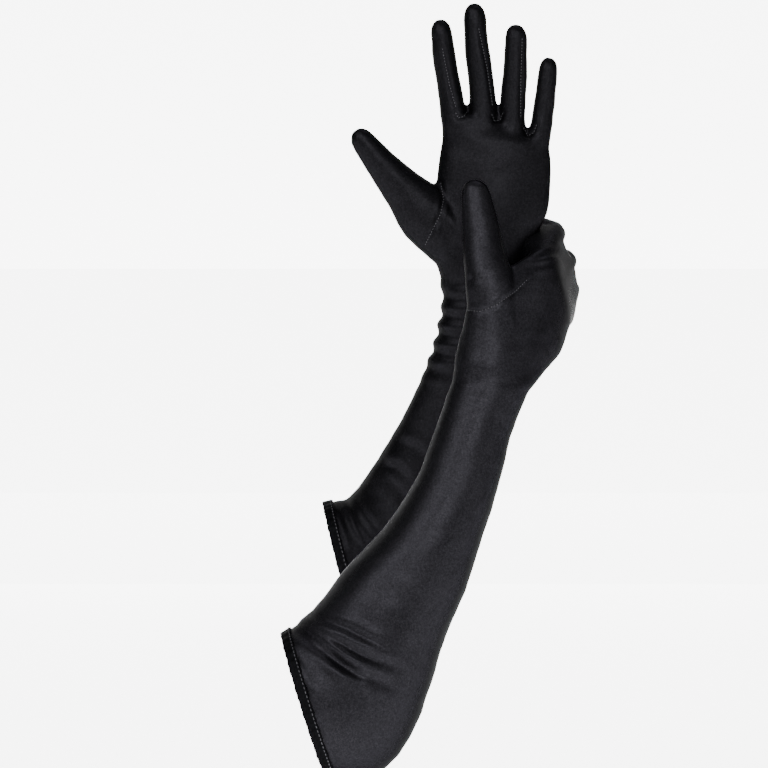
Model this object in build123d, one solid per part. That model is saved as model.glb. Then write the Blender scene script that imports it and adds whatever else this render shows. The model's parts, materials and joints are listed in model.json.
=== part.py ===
from build123d import *
from math import cos, radians, sin
import os

# A pair of stretch-satin opera gloves in the shape that two arms give them: the left hand open with
# its palm to the front (-Y), the right hand closed round the left wrist from the front, with its
# thumb on the left palm and its fingers behind. Millimetres, +Z up, origin at the centre of the box.

CLOTH = 1.2          # thickness that each wall of cloth is given
GAP = 0.7            # free space left at each fold between two moving pieces
HEM_WIDTH = 7.0      # width of the turned hem
HEM_PLY = 1.2        # thickness of the turned-over ply
PLY_GAP = 0.15       # air between the sleeve and the ply turned over it
THREAD = 0.6         # width and height of a row of stitches
STITCH_INSET = 5.5   # from the edge of the opening to the hem's stitches
STRIP_AT = 0.74      # fourchettes start at this share of a finger's half width
SEAM_WIDTH = 1.0     # width of the seam round the thumb
ELLIPSE_POINTS = 12  # points that each section's closed curve goes through
STEPS = 3            # lengths of tube from one listed section to the next

# The middle of the pair's box, which the origin is moved to.
CENTRE = Vector(-0.6, 4.1, 262.3)


def unit(x, y, z):
    """A direction of length one."""
    return Vector(x, y, z).normalized()


class Section:
    """An ellipse across a tube of cloth: its centre, its two directions and its two half sizes."""

    def __init__(self, centre, wide, deep, half_wide, half_deep):
        self.centre = Vector(centre)
        self.wide = wide.normalized()
        self.deep = (deep - self.wide * deep.dot(self.wide)).normalized()
        self.along = self.wide.cross(self.deep)
        self.half_wide = half_wide
        self.half_deep = half_deep

    def wire(self, grow):
        points = []
        for turn in range(0, 360, 360 // ELLIPSE_POINTS):
            wide = self.wide * (self.half_wide + grow) * cos(radians(turn))
            deep = self.deep * (self.half_deep + grow) * sin(radians(turn))
            points.append(self.centre + wide + deep)
        return Wire([Edge.make_spline(points, periodic=True)])

    def plane(self, shift=0.0):
        """The plane of the ellipse, moved along the tube, with its normal towards the hand."""
        return Plane(origin=self.centre + self.along * shift, x_dir=self.wide, z_dir=self.along)


def curve(before, start, end, after, share):
    """A value or a vector part of the way from start to end, on a smooth curve through all four."""
    bend = after - before + (start - end) * 3
    lean = before * 2 - start * 5 + end * 4 - after
    return start + ((end - before) * share + lean * share**2 + bend * share**3) * 0.5


def smooth(sections):
    """The sections with more between them, so that the tube through them has no corners."""
    padded = [sections[0], *sections, sections[-1]]
    made = []
    for four in zip(padded, padded[1:], padded[2:], padded[3:]):
        for step in range(STEPS):
            share = step / STEPS
            made.append(
                Section(
                    curve(*[s.centre for s in four], share),
                    curve(*[s.wide for s in four], share),
                    curve(*[s.deep for s in four], share),
                    curve(*[s.half_wide for s in four], share),
                    curve(*[s.half_deep for s in four], share),
                )
            )
    return [*made, sections[-1]]


def tube(sections, grow=0.0):
    """The closed solid through the sections, each grown or shrunk all round."""
    wires = [s.wire(grow) for s in sections]
    edges = [wire.edges()[0] for wire in wires]
    bands = [Face.make_surface_from_curves(a, b) for a, b in zip(edges, edges[1:])]
    return Solid(Shell([Face(wires[0]), *bands, Face(wires[-1])]))


def wall(sections, inner=-CLOTH, outer=0.0):
    """A tube of cloth, open where its first and last sections are."""
    return tube(sections, outer) - tube(sections, inner)


def keep_above(shape, plane):
    return split(shape, bisect_by=plane, keep=Keep.TOP)


def keep_below(shape, plane):
    return split(shape, bisect_by=plane, keep=Keep.BOTTOM)


def sleeve_section(inner_x, inner_z, outer_x, outer_z, y, half_deep):
    """A section of a sleeve, from the point at the crook's side of the arm to the one at the elbow's."""
    across = Vector(outer_x - inner_x, 0, outer_z - inner_z)
    centre = ((inner_x + outer_x) / 2, y, (inner_z + outer_z) / 2)
    return Section(centre, across, Vector(0, 1, 0), across.length / 2, half_deep)


def digit_sections(stations, across, grow=0.0):
    """The sections of a finger or thumb. Each station is x, y, z, half width and half thickness.

    The last station is the tip, and the one before it is where the tip begins to round off.
    """
    points = [Vector(*s[:3]) for s in stations]
    points[-1] = points[-1] + (points[-1] - points[-2]).normalized() * grow
    sections = []
    for i, (point, station) in enumerate(zip(points[:-1], stations)):
        along = (points[i + 1] - points[max(i - 1, 0)]).normalized()
        wide = across - along * across.dot(along)
        sections.append(Section(point, wide, along.cross(wide), station[3] + grow, station[4] + grow))
    sections = smooth(sections)
    last, tip = sections[-1], points[-1]
    for share in TIP_SHARES:
        left = (1 - share * share) ** 0.5
        centre = last.centre + (tip - last.centre) * share
        sections.append(
            Section(centre, last.wide, last.deep, last.half_wide * left, last.half_deep * left)
        )
    return sections


TIP_SHARES = (0.5, 0.8, 0.95)


def digit_solid(stations, across, grow=0.0):
    return tube(digit_sections(stations, across, grow))


def digit(stations, across):
    """A finger or thumb of cloth, open at its base and closed at its tip."""
    return digit_solid(stations, across) - digit_solid(stations, across, -CLOTH)


def strip_plane(stations, across, side):
    """The plane along a finger, beyond which its wall is the fourchette on that side."""
    first, tip = Vector(*stations[0][:3]), Vector(*stations[-1][:3])
    chord = (tip - first).normalized()
    out = (across - chord * across.dot(chord)).normalized() * side
    return Plane(origin=first + out * STRIP_AT * stations[0][3], z_dir=out)


# ---- Left glove: sections from the arm's opening to the knuckles -------------------------------
LEFT_SLEEVE = [
    sleeve_section(-78, 178, -58, 99, 80, 35),
    sleeve_section(-69, 180, -40, 97, 77, 35),
    sleeve_section(-61, 182, -20, 105, 73, 34),
    sleeve_section(-56, 187, 2, 128, 67, 32),
    sleeve_section(-47, 198, 18, 160, 57, 29),
    sleeve_section(-29, 227, 31, 206, 40, 26),
    sleeve_section(-11, 262, 44, 250, 23, 22),
    sleeve_section(0, 291, 53, 286, 10, 20),
    sleeve_section(6, 319, 58, 320, 2, 18.5),
]
LEFT_PALM = [
    Section((33, 0, 343), unit(1, 0, 0), unit(0, 1, 0), 30, 18),
    Section((32, 0, 361), unit(1, 0, 0), unit(0, 1, 0), 36.5, 17.5),
    Section((37.5, 0, 382), unit(1, 0, 0), unit(0, 1, 0), 40, 16.5),
    Section((41, 0, 405), unit(1, 0, 0), unit(0, 1, 0), 39, 14.5),
    Section((42.5, 0, 432), unit(1, 0, -0.09), unit(0, 1, 0), 37.5, 12),
]
LEFT_ELBOW = 2       # the sleeve is cut at this section, at the point of the elbow
LEFT_ACROSS = Vector(1, 0, 0)
LEFT_DIGITS = {
    "index": [(15.4, 0, 429, 9.5, 9.5), (11.6, 0, 462, 8.9, 8.8), (7.5, -1, 485, 8.2, 8), (5, -2, 505, 7.6, 7.2),
              (3.8, -2, 515, 0, 0)],
    "middle": [(34.6, 0, 428, 9.3, 9.8), (33, 0, 463, 9.2, 9), (30, -1, 490, 8.6, 8.2), (28, -1, 516, 8, 7.2),
               (27.2, -1, 526.5, 0, 0)],
    "ring": [(53.6, 0, 426, 9.1, 9.5), (54.4, 0, 460, 9, 8.8), (56, -1, 482, 8.4, 8), (56.2, -2, 502, 8, 7.2),
             (56.2, -2, 512, 0, 0)],
    "little": [(72, 0, 424, 8.3, 8.8), (75, 0, 450, 7.7, 7.8), (77, -1, 466, 7, 7), (78.6, -2, 481, 6.6, 6.2),
               (79.4, -2, 489, 0, 0)],
}
LEFT_THUMB_ACROSS = Vector(0.7, 0, 0.71)
LEFT_THUMB = [(17, -1, 362, 22, 15), (-6, -2, 381, 20.5, 14), (-22, -4, 398, 14.5, 11.5),
              (-36, -6, 414, 11, 9.5), (-48, -8, 429, 8.6, 7.2), (-54.5, -9, 438, 0, 0)]

# ---- Right glove ------------------------------------------------------------------------------
RIGHT_SLEEVE = [
    sleeve_section(-103, 96, -73, 1, -66, 40),
    sleeve_section(-95, 101, -42, 2, -66, 40),
    sleeve_section(-91, 104, -17, 28, -65, 38),
    sleeve_section(-82, 112, 3, 84, -63, 36),
    sleeve_section(-62, 138, 20, 126, -60, 33),
    sleeve_section(-34, 168, 33, 165, -56, 29),
    sleeve_section(-13, 200, 43, 197, -52, 25),
    sleeve_section(0.5, 234, 51, 228, -47, 22),
    sleeve_section(11.5, 266, 63, 258, -43, 19),
]
RIGHT_PALM = [
    Section((49, -35, 293), unit(0.80, 0.2, -0.56), unit(-0.3, 1, 0.1), 33, 15.5),
    Section((66, -26, 312), unit(0.55, 0.32, -0.77), unit(-0.5, 0.9, 0.1), 35, 14),
    Section((81, -14, 328), unit(0.30, 0.41, -0.86), unit(-0.669, 0.735, 0.117), 33.5, 12.5),
]
RIGHT_ELBOW = 2
RIGHT_ACROSS = Vector(0.30, 0.41, -0.86)
RIGHT_KNUCKLES = RIGHT_PALM[-1]
RIGHT_THUMB_ACROSS = Vector(1, 0, 0.1)
RIGHT_THUMB = [(42, -42, 300, 17, 13), (37, -41, 330, 16.5, 12.5), (33.5, -34.5, 353, 14.3, 12),
               (31, -30.5, 373, 12.2, 10.6), (28, -28, 391, 10.2, 8.6), (25.5, -27.5, 403, 0, 0)]


def right_finger(place, middle_joint, end_joint, tip, half_wide, half_thick):
    """A finger curled behind the left wrist. It leaves the knuckles at place, along their section."""
    start = RIGHT_KNUCKLES.centre + RIGHT_KNUCKLES.wide * place - RIGHT_KNUCKLES.along * 5
    first = (*tuple(start), half_wide, half_thick)
    between = (start + Vector(*middle_joint)) / 2 + RIGHT_KNUCKLES.along * 4
    return [
        first,
        (*tuple(between), half_wide, half_thick),
        (*middle_joint, half_wide * 0.95, half_thick * 0.95),
        (*end_joint, half_wide * 0.88, half_thick * 0.86),
        (*tip, 0, 0),
    ]


def curl_axis(stations):
    """The direction across a curled finger: square to the plane that it curls in."""
    first, joint, tip = [Vector(*stations[i][:3]) for i in (0, 2, -1)]
    square = (joint - first).cross(tip - first).normalized()
    return square if square.dot(RIGHT_ACROSS) > 0 else -square


RIGHT_DIGITS = {
    "index": right_finger(-25.2, (82, 13, 369), (61, 28, 375), (38, 29, 372), 8.0, 8.8),
    "middle": right_finger(-8.3, (90, 18, 350), (67, 33, 354), (42, 32, 350), 8.1, 9),
    "ring": right_finger(8.6, (93, 22, 329), (70, 36, 331), (45, 34, 327), 8.0, 8.8),
    "little": right_finger(24.8, (88, 24, 309), (70, 37, 309), (52, 37, 306), 7.3, 8),
}


# ---- Making and writing the pieces ------------------------------------------------------------
NEIGHBOURS = [("index", 1, "middle"), ("middle", -1, "index"), ("middle", 1, "ring"),
              ("ring", -1, "middle"), ("ring", 1, "little"), ("little", -1, "ring")]


def write(shape, name):
    shape = shape.moved(Location(-CENTRE))
    export_step(shape, f"parts/{name}.step")
    box = shape.bounding_box()
    print(f"{name:36s} {shape.volume:9.0f} mm3  {tuple(box.min)} to {tuple(box.max)}")


def write_sleeve(side, sleeve, elbow):
    """The forearm's and the upper arm's lengths of sleeve, the turned hem and its stitches."""
    fold = sleeve[elbow]
    sleeve = smooth(sleeve)
    cloth = wall(sleeve)
    write(keep_above(cloth, fold.plane()), f"{side}_forearm_sleeve")
    write(keep_below(cloth, fold.plane(-GAP)), f"{side}_upper_sleeve")
    hem_out = PLY_GAP + HEM_PLY
    hem = keep_below(wall(sleeve, PLY_GAP, hem_out), sleeve[0].plane(HEM_WIDTH))
    write(hem, f"{side}_hem")
    row = wall(sleeve, hem_out + PLY_GAP, hem_out + PLY_GAP + THREAD)
    row = keep_above(row, sleeve[0].plane(STITCH_INSET))
    write(keep_below(row, sleeve[0].plane(STITCH_INSET + THREAD)), f"{side}_hem_stitches")


def write_hand(side, hand, thumb, thumb_across):
    """The palm and back, with the thumb's hole in them, the set-in thumb and the seam round it."""
    hand = smooth(hand)
    write(wall(hand) - digit_solid(thumb, thumb_across, -CLOTH), f"{side}_palm_and_back")
    write(digit(thumb, thumb_across) - tube(hand, GAP), f"{side}_thumb")
    seam = digit_solid(thumb, thumb_across, PLY_GAP + THREAD) - digit_solid(thumb, thumb_across, PLY_GAP)
    write(seam & wall(hand, GAP, GAP + SEAM_WIDTH), f"{side}_thumb_seam")


def write_fingers(side, digits, across_of, knuckles):
    """Each finger in its front-and-back panel and the fourchettes that face its neighbours."""
    for name, stations in digits.items():
        across = across_of(stations)
        panel = keep_above(digit(stations, across), knuckles.plane(GAP))
        for finger, facing, neighbour in NEIGHBOURS:
            if finger == name:
                plane = strip_plane(stations, across, facing)
                write(keep_above(panel, plane), f"{side}_{name}_fourchette_by_{neighbour}")
                panel = keep_below(panel, plane)
        write(panel, f"{side}_{name}_finger")


def main():
    os.makedirs("parts", exist_ok=True)
    write_sleeve("left", LEFT_SLEEVE, LEFT_ELBOW)
    write_hand("left", LEFT_SLEEVE[-1:] + LEFT_PALM, LEFT_THUMB, LEFT_THUMB_ACROSS)
    write_fingers("left", LEFT_DIGITS, lambda stations: LEFT_ACROSS, LEFT_PALM[-1])
    write_sleeve("right", RIGHT_SLEEVE, RIGHT_ELBOW)
    write_hand("right", RIGHT_SLEEVE[-1:] + RIGHT_PALM, RIGHT_THUMB, RIGHT_THUMB_ACROSS)
    write_fingers("right", RIGHT_DIGITS, curl_axis, RIGHT_KNUCKLES)


if __name__ == "__main__":
    main()
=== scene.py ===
# %% [markdown]
# # A pair of satin opera gloves
# Two long black gloves, each in the shape that an arm gives it: the left hand is open, and the
# right one grips the left wrist. The CAD model has every panel of cloth as a stiff wall with a
# narrow gap at each fold. Here each glove gets one soft skin that follows those walls, with the
# folds, hems and stitches that stretch satin shows.

import bmesh
import bpy
import json
import numpy as np
from math import pi
from mathutils import Matrix, Vector, noise
from mathutils.bvhtree import BVHTree


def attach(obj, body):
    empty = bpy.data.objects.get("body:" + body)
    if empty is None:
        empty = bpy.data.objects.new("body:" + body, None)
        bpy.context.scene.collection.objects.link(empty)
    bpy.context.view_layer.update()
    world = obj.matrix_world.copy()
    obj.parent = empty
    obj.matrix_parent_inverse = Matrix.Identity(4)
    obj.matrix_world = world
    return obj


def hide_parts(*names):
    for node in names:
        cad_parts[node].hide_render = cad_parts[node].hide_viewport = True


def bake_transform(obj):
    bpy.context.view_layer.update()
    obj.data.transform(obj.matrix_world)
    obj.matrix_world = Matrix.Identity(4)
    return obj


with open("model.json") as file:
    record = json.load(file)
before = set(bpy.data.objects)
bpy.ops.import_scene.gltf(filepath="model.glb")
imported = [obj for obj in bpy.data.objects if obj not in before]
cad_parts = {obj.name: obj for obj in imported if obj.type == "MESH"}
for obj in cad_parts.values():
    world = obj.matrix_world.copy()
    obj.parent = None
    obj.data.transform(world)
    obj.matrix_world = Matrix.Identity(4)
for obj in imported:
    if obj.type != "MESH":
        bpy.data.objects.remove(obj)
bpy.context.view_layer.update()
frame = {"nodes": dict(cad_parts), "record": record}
MM = 0.001
FINGERS = ("index", "middle", "ring", "little")
SIDES = ("left", "right")
print("loaded", len(frame["nodes"]), "CAD parts")

# %% [markdown]
# ## Which parts make up each stretch of skin
# A stall is the tube of cloth for one finger or thumb. Its panel and the narrow strips between the
# fingers, the fourchettes, are one closed shape to the eye, so they are taken together.

# %% Parts of each glove
def parts_of(side, stall):
    """The CAD nodes of one stall: its panel and its fourchettes, or the thumb."""
    if stall == "thumb":
        return [f"{side}_thumb"]
    return [n for n in frame["nodes"] if n.startswith(f"{side}_{stall}_") and "seam" not in n]


for side in SIDES:
    print(side, [len(parts_of(side, stall)) for stall in FINGERS])

# %% [markdown]
# ## Walls that can be joined
# The CAD walls are hollow and stand a hair apart. Each is swollen a little, so that it meets its
# neighbours. A thin plate closes the end of the palm behind the fingers, and another the arm
# opening. The outside of the glove is then one closed surface, apart from all the inner ones.

# %% Swell the walls and close the ends
SWELL = 0.5 * MM
FINGER_SWELL = 0.2 * MM  # less, so that straight fingers do not run together
PLATE = 1.5 * MM


def joined(names):
    """The walls of these parts together, with their doubled points made one."""
    shape = bmesh.new()
    for name in names:
        part = bmesh.new()
        part.from_mesh(frame["nodes"][name].data)
        bmesh.ops.remove_doubles(part, verts=part.verts, dist=0.01 * MM)
        part.normal_update()
        mesh = bpy.data.meshes.new(name)
        part.to_mesh(mesh)
        shape.from_mesh(mesh)
    shape.normal_update()
    return shape


def swollen(shape, amount):
    grown = shape.copy()
    for vertex in grown.verts:
        vertex.co += vertex.normal * amount
    return grown


def points_of(names, kept):
    """The points of these parts for which kept is true."""
    return [v.co for name in names for v in frame["nodes"][name].data.vertices if kept(v.co)]


def stretched_over(points):
    """The closed shape of a cloth pulled tight over the points."""
    shape = bmesh.new()
    for point in points:
        shape.verts.new(point)
    hull = bmesh.ops.convex_hull(shape, input=shape.verts)
    spare = {v for v in hull["geom_interior"] + hull["geom_unused"] if isinstance(v, bmesh.types.BMVert)}
    bmesh.ops.delete(shape, geom=list(spare), context="VERTS")
    return shape


def plate(name, place, out):
    """A thin closed plate over the end of a tube that faces out at this place."""
    def at_end(p):
        return abs((p - place).dot(out)) < PLATE and (p - place).length < 0.1

    return stretched_over(points_of([name], at_end))


# the middle of each palm's end and the direction of the fingers there, in millimetres
KNUCKLES = {
    "left": (Vector((43.1, -4.1, 169.7)), Vector((0.09, 0, 0.996))),
    "right": (Vector((81.6, -18.1, 65.7)), Vector((0.68, 0.54, 0.495))),
}
mounts = {m["name"]: m for m in frame["record"]["mounts"]}
shapes, plates = {}, {}
for side in SIDES:
    shapes[side, "arm"] = joined([f"{side}_forearm_sleeve"])
    shapes[side, "upper"] = joined([f"{side}_upper_sleeve"])
    shapes[side, "hand"] = joined([f"{side}_palm_and_back"])
    for stall in (*FINGERS, "thumb"):
        shapes[side, stall] = joined(parts_of(side, stall))
    place, out = KNUCKLES[side]
    mount = mounts[f"{side}_arm_opening"]
    plates[side] = [
        plate(f"{side}_palm_and_back", place * MM, out.normalized()),
        plate(f"{side}_upper_sleeve", Vector(mount["pos_m"]), Vector(mount["axis"])),
    ]
    print(side, "plates of", [len(p.faces) for p in plates[side]], "faces")

# %% [markdown]
# Cloth does not dip between two fingers as the stiff walls do: it is pulled tight from one to the
# next, up to the web. It is also pulled tight from the right thumb's base over the ball of the
# hand, and over the row of knuckles of the closed hand.

# %% Webs and knuckles
# the two fingers, and how far above the end of the palm the web between them is, in millimetres
WEBS = [("index", "middle", 15), ("middle", "ring", 12), ("ring", "little", 4)]
KNUCKLE_REACH = 31
THUMB_BALL_TOP = 56


def low(side, limit):
    """A test for points between the palm's end and this far beyond it, in millimetres."""
    place, out = KNUCKLES[side]
    return lambda p: -3 < (p / MM - place).dot(out) < limit


for first, second, web in WEBS:
    names = ["left_palm_and_back", *parts_of("left", first), *parts_of("left", second)]
    edges = [frame["nodes"][f"left_{f}_finger"].data.vertices for f in (first, second)]
    inner = [sum(v.co.x for v in e) / len(e) for e in edges]

    def between(p):
        return low("left", web)(p) and inner[0] - 4 * MM < p.x < inner[1] + 4 * MM

    plates["left"].append(stretched_over(points_of(names, between)))
names = ["right_palm_and_back", *[n for finger in FINGERS for n in parts_of("right", finger)]]
plates["right"].append(stretched_over(points_of(names, low("right", KNUCKLE_REACH))))
ball = points_of(["right_thumb"], lambda p: p.z < THUMB_BALL_TOP * MM)
plates["right"].append(stretched_over(ball + points_of(["right_palm_and_back"], lambda p: True)))
print({side: len(plates[side]) for side in SIDES}, "plates and webs")

# %% [markdown]
# ## One skin for each glove
# The walls are covered with a net of even squares, about a stitch wide, and only its outer sheet
# is kept. The net is relaxed, most of all where the fingers leave the palm, so that the joins
# become smooth hollows. It is then pulled back in by the amount that the walls were swollen.

# %% Cover each glove with one net
NET = 1.15 * MM
FIRST_ROUNDS = 5     # rounds of relaxing over the whole glove
PULL_BACK = 0.8      # share of the swelling that is taken off again
# how far from the knuckles the net is relaxed once more, in millimetres, and for how many rounds
KNUCKLE_EASE = {"left": (9, 40), "right": (15, 110)}
HAND_REACH = 52      # nothing farther from the knuckles is relaxed with them


def covered(name, shape_list, net, rounds):
    """One mesh over all the shapes, with even squares, relaxed for some rounds."""
    whole = bmesh.new()
    for shape in shape_list:
        part = bpy.data.meshes.new("part")
        shape.to_mesh(part)
        whole.from_mesh(part)
    mesh = bpy.data.meshes.new(name)
    whole.to_mesh(mesh)
    made = bpy.data.objects.new(name, mesh)
    bpy.context.scene.collection.objects.link(made)
    cover = made.modifiers.new("cover", "REMESH")
    cover.mode = "VOXEL"
    cover.voxel_size = net
    relax = made.modifiers.new("relax", "SMOOTH")
    relax.factor = 0.5
    relax.iterations = rounds
    finished = bpy.data.meshes.new_from_object(made.evaluated_get(bpy.context.evaluated_depsgraph_get()))
    bpy.data.objects.remove(made)
    return finished


def outer_sheet(mesh):
    """Only the largest of the separate surfaces in a mesh, measured by its height."""
    net = bmesh.new()
    net.from_mesh(mesh)
    left, sheets = set(net.verts), []
    while left:
        start = left.pop()
        sheet, front = {start}, [start]
        while front:
            near = {e.other_vert(v) for v in front for e in v.link_edges} - sheet
            sheet |= near
            front = list(near)
        left -= sheet
        heights = [v.co.z for v in sheet]
        sheets.append((max(heights) - min(heights), sheet))
    sheets.sort(key=lambda found: found[0])
    for _, sheet in sheets[:-1]:
        bmesh.ops.delete(net, geom=list(sheet), context="VERTS")
    net.to_mesh(mesh)
    return len(sheets)


def numbers(mesh):
    """The positions and the outward directions of a mesh's points."""
    places = np.empty(len(mesh.vertices) * 3)
    mesh.vertices.foreach_get("co", places)
    outward = np.array([v.vector for v in mesh.vertex_normals])
    return places.reshape(-1, 3), outward


def put(mesh, places):
    mesh.vertices.foreach_set("co", places.ravel())
    mesh.update()


def relaxed(mesh, places, amount, rounds):
    """The places after each has moved towards its neighbours' mean, as far as its amount allows."""
    ends = np.empty(len(mesh.edges) * 2, int)
    mesh.edges.foreach_get("vertices", ends)
    a, b = ends.reshape(-1, 2).T
    here, there = np.concatenate([a, b]), np.concatenate([b, a])
    count = np.bincount(here, minlength=len(places))
    for _ in range(rounds):
        mean = np.stack([np.bincount(here, places[there, k], len(places)) for k in range(3)], 1)
        places = places + (mean / count[:, None] - places) * amount[:, None]
    return places


skins = {}
for side in SIDES:
    walls = []
    for (glove, part), shape in shapes.items():
        if glove == side:
            walls.append(swollen(shape, FINGER_SWELL if part in FINGERS else SWELL))
    mesh = covered(f"{side}_skin", walls + plates[side], NET, FIRST_ROUNDS)
    sheets = outer_sheet(mesh)
    place, out = KNUCKLES[side]
    places, outward = numbers(mesh)
    places = places - outward * SWELL * PULL_BACK
    height = (places / MM - np.array(place)) @ np.array(out)
    reach = np.linalg.norm(places / MM - np.array(place), axis=1)
    spread, rounds = KNUCKLE_EASE[side]
    amount = 0.6 * np.exp(-(((height - 2) / spread) ** 2)) * (reach < HAND_REACH)
    put(mesh, relaxed(mesh, places, amount, rounds))
    skins[side] = mesh
    print(side, "outer sheet of", sheets, "with", len(mesh.vertices), "points")

# %% [markdown]
# ## Folds
# Stretch satin lies smooth over the arm, and folds where the arm bends and where the wearer has
# pulled it on. Each fold is a line seen from the front, in millimetres across and up. The cloth
# sinks along the line and rises beside it, so that light catches its edge.
# The wrist is different: spare length gathers there in a row of soft rings.

# %% Fold lines
# points of the line, how far it sinks, how wide it is
FOLDS = {
    "left": [
        ([(-62, -82), (-54, -100), (-47, -113)], 1.2, 3.0),
        ([(-69, -86), (-62, -103), (-56, -117)], 1.1, 3.0),
        ([(-55, -80), (-46, -94), (-38, -104)], 0.9, 3.0),
        ([(-36, -54), (-26, -58), (-14, -70)], 1.5, 4.0),
        ([(-34, -62), (-24, -72), (-14, -86)], 1.3, 4.0),
        ([(-24, -40), (-12, -44), (2, -56)], 1.0, 4.0),
        ([(-4, 69), (8, 66), (24, 70)], 0.5, 3.0),
        ([(6, 96), (26, 92), (48, 98)], 0.7, 4.5),
        ([(0, 118), (10, 104), (16, 88)], 0.9, 4.0),
    ],
    "right": [
        ([(-95, -160), (-76, -169), (-50, -192)], 2.0, 3.2),
        ([(-91, -165), (-62, -183), (-30, -198)], 1.8, 3.2),
        ([(-88, -157), (-54, -174), (-24, -186)], 1.6, 3.0),
        ([(-84, -152), (-58, -160), (-34, -172)], 1.0, 3.0),
        ([(-97, -176), (-90, -184), (-82, -196)], 0.9, 2.6),
        ([(-96, -186), (-88, -196), (-80, -210)], 0.8, 2.6),
        ([(68, 85), (76, 89), (84, 92)], 0.7, 2.0),
        ([(64, 80), (74, 82), (83, 84)], 0.6, 2.0),
        ([(10, 8), (26, 2), (46, 8)], 0.35, 6.0),
    ],
}
# how far a seam pulls the cloth in, and how wide; then its name, its glove, the finger that it
# bends with, and its line
SEAM_SINK, SEAM_WIDE = 0.55, 1.5
SEAMS = [
    ("left_index_side_seam", "left", "left_index_stall", [(6, 232), (11, 207), (16, 189)]),
    ("left_middle_side_seam", "left", "left_middle_stall", [(31, 246), (37, 218), (41, 190)]),
    ("left_ring_side_seam", "left", "left_ring_stall", [(61, 239), (60, 208), (60, 182)]),
    ("left_thumb_round_seam", "left", None, [(5, 140), (7, 128), (5, 118), (-1, 106), (-6, 96)]),
    ("left_web_seam_one", "left", None, [(15, 188), (17, 184), (21, 185), (24, 190)]),
    ("left_web_seam_two", "left", None, [(40, 187), (42, 182), (46, 183), (48, 188)]),
    ("left_web_seam_three", "left", None, [(62, 178), (65, 172), (69, 174), (71, 180)]),
    ("right_thumb_round_seam", "right", None, [(18, 52), (30, 50), (41, 54), (55, 64), (63, 72)]),
]

# the middle of the wrist, the direction of the arm there, half the gathered length, the depth
GATHERS = {
    "left": ((28, -1, 34), (0.25, -0.1, 0.96), 34, 1.15),
    "right": ((40, -46, -10), (0.45, 0.12, 0.88), 26, 0.12),
}
RING_SPACING = 13.0


def near_line(places, line):
    """How far each point is from the line, on which side, and how far along it, from 0 to 1."""
    flat = places[:, [0, 2]] / MM
    best = np.full(len(flat), 1e9)
    beside = np.zeros(len(flat))
    share = np.zeros(len(flat))
    for i, (a, b) in enumerate(zip(line, line[1:])):
        a, run = np.array(a, float), np.array(b, float) - np.array(a, float)
        t = np.clip((flat - a) @ run / (run @ run), 0, 1)
        apart = flat - a - t[:, None] * run
        far = np.hypot(*apart.T)
        closer = far < best
        best = np.where(closer, far, best)
        turn = run[0] * apart[:, 1] - run[1] * apart[:, 0]
        beside = np.where(closer, np.sign(turn), beside)
        share = np.where(closer, (i + t) / (len(line) - 1), share)
    return best, beside, share


def fold_depth(places, outward, line, depth, width):
    """How far each point rises or sinks beside one fold on the front of the glove."""
    far, beside, share = near_line(places, line)
    signed = far * beside
    facing = np.clip(0.35 - outward[:, 1], 0, 1)
    fade = np.sin(pi * np.clip(share * 0.92 + 0.04, 0, 1)) ** 0.6 * np.minimum(facing * 1.6, 1)
    valley = -np.exp(-((signed / width) ** 2))
    ridge = 0.75 * np.exp(-(((signed - 1.9 * width) / (1.2 * width)) ** 2))
    low_ridge = 0.4 * np.exp(-(((signed + 2.0 * width) / (1.3 * width)) ** 2))
    return depth * MM * fade * (valley + ridge + low_ridge)


def gathered(places, middle, direction, half, depth):
    """Soft rings round the wrist, uneven from one side of the arm to the other."""
    offset = places / MM - np.array(middle, float)
    direction = np.array(direction) / np.linalg.norm(direction)
    along = offset @ direction
    across = offset - along[:, None] * direction
    turn = np.arctan2(across[:, 1], across[:, 0])
    near = np.exp(-((along / half) ** 4)) * (np.hypot(*across[:, :2].T) < 60)
    phase = along / RING_SPACING * 2 * pi + 1.1 * np.sin(turn) + 0.7 * np.sin(2 * turn + 1)
    uneven = 0.65 + 0.35 * np.cos(turn - pi)
    return depth * MM * near * uneven * np.sin(phase)


for side, mesh in skins.items():
    places, outward = numbers(mesh)
    rise = gathered(places, *GATHERS[side])
    for line, depth, width in FOLDS[side]:
        rise = rise + fold_depth(places, outward, line, depth, width)
    for _, glove, _, line in SEAMS:
        if glove == side:
            rise = rise + fold_depth(places, outward, line, SEAM_SINK, SEAM_WIDE)
    slack = [noise.noise(Vector((p[0] * 30, p[1] * 30, p[2] * 55))) for p in places]
    fine = [noise.noise(Vector((p[0] * 90 + 7, p[1] * 90, p[2] * 150))) for p in places]
    rise = rise + 0.55 * MM * np.array(slack) + 0.18 * MM * np.array(fine)
    put(mesh, places + outward * rise[:, None])
    print(side, "folds from", round(rise.min() / MM, 2), "to", round(rise.max() / MM, 2), "mm")

# %% [markdown]
# ## Satin, and the darker cloth of the hem
# Black satin is a very dark cloth with a soft, broad shine. Under a close look its yarns scatter
# light as fine specks.
# The class below lets a shader be written as sums; each operator adds the node that it needs.

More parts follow.
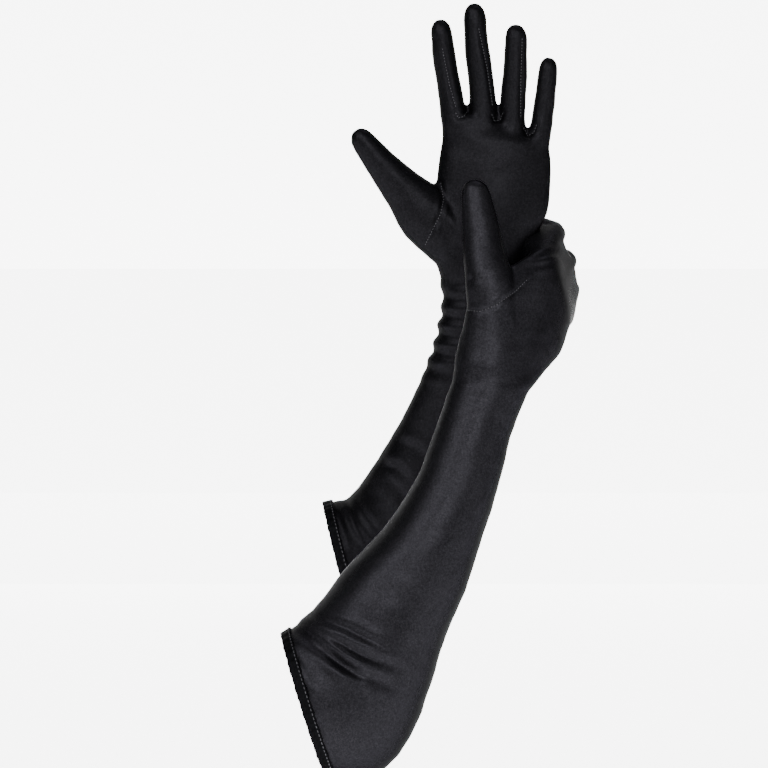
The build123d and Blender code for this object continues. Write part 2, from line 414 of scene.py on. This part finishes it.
# %% Materials
class Shade:
    """A value worked out at every point of a surface, with ordinary sums on it."""

    def __init__(self, tree, socket=None):
        self.tree = tree
        self.socket = socket

    def node(self, kind, settings, inputs, output=0):
        made = self.tree.nodes.new(kind)
        for name, value in settings.items():
            setattr(made, name, value)
        for name, value in inputs.items():
            if isinstance(value, Shade):
                self.tree.links.new(value.socket, made.inputs[name])
            else:
                made.inputs[name].default_value = value
        return Shade(self.tree, made.outputs[output])

    def sum_of(self, operation, other):
        return self.node("ShaderNodeMath", {"operation": operation}, {0: self, 1: other})

    def __add__(self, other):
        return self.sum_of("ADD", other)

    def __mul__(self, other):
        return self.sum_of("MULTIPLY", other)

    def __sub__(self, other):
        return self.sum_of("SUBTRACT", other)

    def __rsub__(self, other):
        return self * -1 + other

    def __pow__(self, other):
        return self.sum_of("POWER", other)

    __radd__ = __add__
    __rmul__ = __mul__

    def colour(self, dark, light):
        """From the dark colour at 0 to the light one at 1."""
        settings = {"data_type": "RGBA"}
        return self.node("ShaderNodeMix", settings, {0: self, 6: (*dark, 1), 7: (*light, 1)}, 2)


def cloth(name, dark, light, roughness, bump):
    """Dark woven cloth: specks of yarn, slow changes of shine, and a fine bump."""
    made = bpy.data.materials.new(name)
    made.use_nodes = True
    tree = made.node_tree
    surface = tree.nodes["Principled BSDF"]
    start = Shade(tree)
    where = start.node("ShaderNodeTexCoord", {}, {}, "Object")
    specks = start.node("ShaderNodeTexNoise", {}, {"Vector": where, "Scale": 1500, "Detail": 3})
    yarn = start.node("ShaderNodeTexNoise", {}, {"Vector": where, "Scale": 650, "Detail": 4})
    broad = start.node("ShaderNodeTexNoise", {}, {"Vector": where, "Scale": 28, "Detail": 2})
    grain = (specks * 0.6 + yarn * 0.4) ** 2 * 1.6
    colour = (grain * 0.85 + broad * 0.15).colour(dark, light)
    shine = broad * 0.16 + specks * 0.14 + (roughness - 0.15)
    height = specks * 0.6 + yarn * 0.4
    raised = start.node("ShaderNodeBump", {}, {"Strength": bump, "Distance": 0.0003, "Height": height})
    tree.links.new(colour.socket, surface.inputs["Base Color"])
    tree.links.new(shine.socket, surface.inputs["Roughness"])
    tree.links.new(raised.socket, surface.inputs["Normal"])
    surface.inputs["Metallic"].default_value = 0.85
    surface.inputs["Specular Tint"].default_value = (0, 0, 0, 1)
    surface.inputs["Specular IOR Level"].default_value = 0.1
    return made


# Both gloves are the same black satin. The left glove's copy has darker colours than the right's, as painted
# shade.
SATIN = {
    "left": cloth("black_satin_painted_shade", (0.001, 0.001, 0.0012), (0.017, 0.0165, 0.019), 0.44, 0.5),
    "right": cloth("black_satin", (0.0012, 0.0012, 0.0015), (0.031, 0.030, 0.035), 0.42, 0.6),
}
HEM_CLOTH = cloth("turned_hem", (0.001, 0.001, 0.0012), (0.008, 0.008, 0.009), 0.55, 0.5)
THREAD = cloth("stitching_thread", (0.02, 0.02, 0.022), (0.12, 0.12, 0.13), 0.6, 0.3)
print("cloths:", [m.name for m in (*SATIN.values(), HEM_CLOTH, THREAD)])

# %% [markdown]
# ## Where the cloth would bend
# A fold in cloth has no pin. For each fold two points are listed: where a stretch of skin would stop
# following one body, and where it would start following the next. Nothing below bends the skin with them.
# The points are in millimetres.
# A thumb has no fold of its own here, so it rides with the hand.

# %% Bends
BENDS = {
    "left_elbow_end": ((-20, 69, -108), (-60, 69, -129)),
    "right_elbow_end": ((-36, -69, -179), (-71, -69, -213)),
}
STALL_TURN = 13 * MM
DIRECTION = {"left": Vector((0, 0, 1)), "right": Vector((0.68, 0.54, 0.495))}
for joint in frame["record"]["behaviour"]["joints"]:
    child = joint["child"]
    side = child.split("_")[0]
    if child.endswith("_stall") and child not in BENDS:
        start = Vector(joint["pos_m"])
        BENDS[child] = (start / MM, (start + DIRECTION[side] * STALL_TURN) / MM)


def goes_with(piece):
    """Bake this piece's placement into its points. It is not bent, and not tied to any body."""
    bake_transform(piece)


def shown(name, mesh, material):
    """A new object in the scene, with its cloth."""
    made = bpy.data.objects.new(name, mesh)
    bpy.context.scene.collection.objects.link(made)
    mesh.materials.clear()
    mesh.materials.append(material)
    mesh.shade_smooth()
    return made


print(len(BENDS), "bends")

# %% [markdown]
# ## Cutting the skin at the folds
# Every square of the net belongs to the stall, or the hand, that it lies nearest to. The whole
# skin's directions are kept in each piece, so that light runs over a cut without a line.
# At the arm opening the end of the net is taken off. The cloth turns inwards there, so a strip of
# lining goes down inside.

# %% Cut the skins
LINING_DEPTH = 60 * MM
LINING_IN = 0.9 * MM


def opened(mesh, side):
    """The net without its end at the arm opening, and with a lining inside it."""
    mount = mounts[f"{side}_arm_opening"]
    edge, out = Vector(mount["pos_m"]), Vector(mount["axis"])
    net = bmesh.new()
    net.from_mesh(mesh)
    kept_direction = net.verts.layers.float_vector["kept_direction"]

    def depth(face):
        return (edge - face.calc_center_median()).dot(out)

    def facing(face):
        return (face.calc_center_median() - edge).length < 90 * MM

    gone = [f for f in net.faces if depth(f) < 0.9 * MM and facing(f)]
    bmesh.ops.delete(net, geom=gone, context="FACES")
    rim = [e for e in net.edges if e.is_boundary]
    strip = [f for f in net.faces if depth(f) < LINING_DEPTH and facing(f)]
    copy = bmesh.ops.duplicate(net, geom=strip + list({v for f in strip for v in f.verts}))
    inside = {a: b for a, b in copy["vert_map"].items()}
    new_faces = [g for g in copy["geom"] if isinstance(g, bmesh.types.BMFace)]
    new_verts = [g for g in copy["geom"] if isinstance(g, bmesh.types.BMVert)]
    for vertex in new_verts:
        vertex.co -= vertex[kept_direction] * LINING_IN
        vertex[kept_direction] = -vertex[kept_direction]
    bmesh.ops.reverse_faces(net, faces=new_faces)
    for e in rim:
        a, b = e.verts
        if a in inside and b in inside:
            net.faces.new((a, b, inside[b], inside[a]))
    return net


def piece_of(net, wanted, name):
    """A mesh of the squares whose number is wanted, with the whole skin's directions."""
    part = net.copy()
    number = part.faces.layers.int["stall"]
    bmesh.ops.delete(part, geom=[f for f in part.faces if f[number] != wanted], context="FACES")
    mesh = bpy.data.meshes.new(name)
    part.to_mesh(mesh)
    mesh.shade_smooth()
    kept = np.empty(len(mesh.vertices) * 3)
    mesh.attributes["kept_direction"].data.foreach_get("vector", kept)
    mesh.normals_split_custom_set_from_vertices(kept.reshape(-1, 3))
    mesh.attributes.remove(mesh.attributes["kept_direction"])
    return mesh


PARTS = ("hand", *FINGERS, "thumb")
trees = {}
for side, mesh in skins.items():
    kept = mesh.attributes.new("kept_direction", "FLOAT_VECTOR", "POINT")
    kept.data.foreach_set("vector", numbers(mesh)[1].ravel())
    near = {part: BVHTree.FromBMesh(shapes[side, part]) for part in PARTS}
    near["arm"] = BVHTree.FromBMesh(shapes[side, "arm"])
    mesh.attributes.new("stall", "INT", "FACE")
    net = opened(mesh, side)
    net.normal_update()
    number = net.faces.layers.int["stall"]
    for face in net.faces:
        middle = face.calc_center_median()
        found = {part: tree.find_nearest(middle, 30 * MM)[3] for part, tree in near.items()}
        found = {part: far for part, far in found.items() if far is not None}
        closest = min(found, key=found.get) if found else "hand"
        face[number] = PARTS.index("hand" if closest == "arm" else closest)
    trees[side] = BVHTree.FromBMesh(net)
    for index, part in enumerate(PARTS):
        name = f"{side}_{part}_skin" if part != "hand" else f"{side}_glove_skin"
        piece = shown(name, piece_of(net, index, name), SATIN[side])
        if part == "hand":
            goes_with(piece)
            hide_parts(*[f"{side}_{n}" for n in ("forearm_sleeve", "upper_sleeve", "palm_and_back")])
        elif part == "thumb":
            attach(piece, f"{side}_hand_and_forearm")
            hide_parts(f"{side}_thumb")
        else:
            goes_with(piece)
            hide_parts(*parts_of(side, part))
        print(name, len(piece.data.polygons), "squares")

# %% [markdown]
# ## Hems
# The cloth is turned over once at the arm opening and stitched down. The band puckers a little
# between the stitches and its edges are round, because the cloth is soft.

# %% Hem bands
PUCKER = 0.14 * MM


def round_opening(side, places):
    """The turn round the arm opening at each point, in radians."""
    mount = mounts[f"{side}_arm_opening"]
    out = Vector(mount["axis"])
    across = out.orthogonal().normalized()
    up = out.cross(across)
    offset = places - np.array(mount["pos_m"])
    return np.arctan2(offset @ np.array(up), offset @ np.array(across))


for side in SIDES:
    ring = bmesh.new()
    ring.from_mesh(frame["nodes"][f"{side}_hem"].data)
    bmesh.ops.remove_doubles(ring, verts=ring.verts, dist=0.01 * MM)
    mesh = covered(f"{side}_hem_band", [ring], 0.5 * MM, 5)
    places, outward = numbers(mesh)
    turn = round_opening(side, places)
    swell = 0.35 * MM + PUCKER * np.sin(turn * 44) + PUCKER * np.sin(turn * 17 + 1)
    put(mesh, places + outward * swell[:, None])
    piece = shown(f"{side}_hem_band", mesh, HEM_CLOTH)
    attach(piece, f"{side}_elbow_end")
    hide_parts(f"{side}_hem")
    print(piece.name, len(mesh.vertices), "points")

# %% [markdown]
# ## Stitches
# Every stitch is a short rounded bead of thread, half sunk in the cloth. A row follows a line on
# the skin: round each hem, round the thumb, down the side of each finger and over the web.

# %% One row of stitches
def bead():
    """A ball of a few facets, of radius one."""
    ball = bmesh.new()
    bmesh.ops.create_icosphere(ball, subdivisions=2, radius=1)
    points = np.array([v.co[:] for v in ball.verts])
    return points, [[v.index for v in f.verts] for f in ball.faces]


def spaced(points, step):
    """Points at even steps along a line, with the direction of the line at each."""
    points = np.array(points, float)
    length = np.concatenate([[0], np.cumsum(np.linalg.norm(np.diff(points, axis=0), axis=1))])
    at = np.arange(step / 2, length[-1], step)
    found = np.stack([np.interp(at, length, points[:, k]) for k in range(3)], 1)
    ahead = np.stack([np.interp(at + step / 4, length, points[:, k]) for k in range(3)], 1)
    behind = np.stack([np.interp(at - step / 4, length, points[:, k]) for k in range(3)], 1)
    return found, ahead - behind


def stitched(name, points, step, long, thick):
    """A row of stitches along the points. Each is long in the line's direction and thin across."""
    ball, faces = bead()
    found, direction = spaced(points, step)
    verts, polygons = [], []
    for place, ahead in zip(found, direction):
        turn = Vector(ahead).to_track_quat("X", "Z").to_matrix()
        stretch = turn @ Matrix.Diagonal((long / 2, thick / 2, thick / 2))
        polygons += [[i + len(verts) for i in f] for f in faces]
        verts += [tuple(stretch @ Vector(p) + Vector(place)) for p in ball]
    mesh = bpy.data.meshes.new(name)
    mesh.from_pydata(verts, [], polygons)
    return mesh


# %% Rows round the hems
for side in SIDES:
    places = np.array([v.co[:] for v in frame["nodes"][f"{side}_hem_stitches"].data.vertices])
    turn = round_opening(side, places)
    edges = np.linspace(-pi, pi, 73)
    ring = [places[(turn >= a) & (turn < b)].mean(0) for a, b in zip(edges, edges[1:])]
    mesh = stitched(f"{side}_hem_stitching", ring + ring[:1], 3.0 * MM, 2.1 * MM, 0.75 * MM)
    piece = shown(mesh.name, mesh, THREAD)
    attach(piece, f"{side}_elbow_end")
    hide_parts(f"{side}_hem_stitches")
    print(piece.name, len(mesh.vertices), "points")

# %% [markdown]
# ## Seams of the hand
# The seams' lines were listed with the folds, because a seam also draws the cloth in. Here each is
# dropped on to the skin from the front and stitched.

# %% Seams on the skin
def on_front(side, line):
    """The line dropped on to the front of the glove's skin."""
    dropped = []
    for (x, z), (next_x, next_z) in zip(line, line[1:]):
        for share in np.linspace(0, 1, 12, endpoint=False):
            start = Vector((x + (next_x - x) * share, -300, z + (next_z - z) * share)) * MM
            hit = trees[side].ray_cast(start, Vector((0, 1, 0)))[0]
            if hit is not None:
                dropped.append(tuple(hit + Vector((0, -0.05 * MM, 0))))
    return dropped


for name, side, body, line in SEAMS:
    mesh = stitched(name, on_front(side, line), 2.1 * MM, 1.3 * MM, 0.55 * MM)
    piece = shown(name, mesh, THREAD)
    if body:
        goes_with(piece)
    else:
        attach(piece, f"{side}_hand_and_forearm")
    if "thumb" in name:
        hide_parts(f"{side}_thumb_seam")
    print(name, len(mesh.vertices), "points")

# %% [markdown]
# ## Studio
# A white sweep stands behind and under the gloves, and broad lamps make soft light. One stands to
# the upper left, for the long soft highlights, and a weaker one to the right lifts the other edge.

# %% Floor, lights and camera
PAPER_GLOW = 5.0
FRONT_GLOW = 0.35    # share of the glow in front of the gloves, so that it does not light them from below


def paper():
    """White paper that glows a little, most of all behind the gloves."""
    made = bpy.data.materials.new("paper")
    made.use_nodes = True
    tree = made.node_tree
    surface = tree.nodes["Principled BSDF"]
    start = Shade(tree)
    where = start.node("ShaderNodeTexCoord", {}, {}, "Object")
    depth = start.node("ShaderNodeSeparateXYZ", {}, {"Vector": where}, "Y")
    settings = {"interpolation_type": "SMOOTHSTEP", "clamp": True}
    behind = start.node("ShaderNodeMapRange", settings, {"Value": depth, "From Min": -0.3, "From Max": 0.25})
    glow = behind.colour((FRONT_GLOW,) * 3, (1, 1, 1))
    tree.links.new(glow.socket, surface.inputs["Emission Color"])
    surface.inputs["Base Color"].default_value = (0.9, 0.9, 0.9, 1)
    surface.inputs["Roughness"].default_value = 0.9
    surface.inputs["Emission Strength"].default_value = PAPER_GLOW
    return made


sweep_line = [(-3.2, -0.30), (2.6, -0.30), (3.1, -0.18), (3.3, 0.2), (3.3, 3.5)]
verts = [(x, y, z) for y, z in sweep_line for x in (-4, 4)]
faces = [(2 * i, 2 * i + 1, 2 * i + 3, 2 * i + 2) for i in range(len(sweep_line) - 1)]
sweep_mesh = bpy.data.meshes.new("sweep")
sweep_mesh.from_pydata(verts, [], faces)
sweep_mesh.materials.append(paper())
sweep = bpy.data.objects.new("sweep", sweep_mesh)
bpy.context.scene.collection.objects.link(sweep)


def lamp(name, place, towards, size, power):
    light = bpy.data.lights.new(name, "AREA")
    light.shape = "RECTANGLE"
    light.size, light.size_y = size
    light.energy = power
    made = bpy.data.objects.new(name, light)
    made.location = place
    made.rotation_euler = (Vector(towards) - Vector(place)).to_track_quat("-Z", "Y").to_euler()
    bpy.context.scene.collection.objects.link(made)
    return made


lamp("key", (-1.0, -1.3, 1.2), (0, 0, 0), (0.9, 0.9), 28)
lamp("fill", (1.3, -1.1, 0.3), (0, 0, 0), (0.8, 1.2), 6)
lamp("front", (0.15, -2.1, 0.95), (0.03, 0, 0.14), (1.0, 0.6), 34)
lamp("top", (0.2, 0.3, 1.6), (0, 0, 0), (1.2, 0.8), 16)
world = bpy.data.worlds.new("room")
bpy.context.scene.world = world
world.use_nodes = True
world.node_tree.nodes["Background"].inputs["Color"].default_value = (1, 1, 1, 1)
world.node_tree.nodes["Background"].inputs["Strength"].default_value = 0.08

camera_data = bpy.data.cameras.new("camera")
camera_data.lens = 149.4
camera_data.sensor_width = 36
camera = bpy.data.objects.new("camera", camera_data)
camera.location = (-0.0339, -2.2, 0.0013)
camera.rotation_euler = (pi / 2, 0, 0)
bpy.context.scene.collection.objects.link(camera)
bpy.context.scene.camera = camera
print("camera at", tuple(round(v, 3) for v in camera.location))
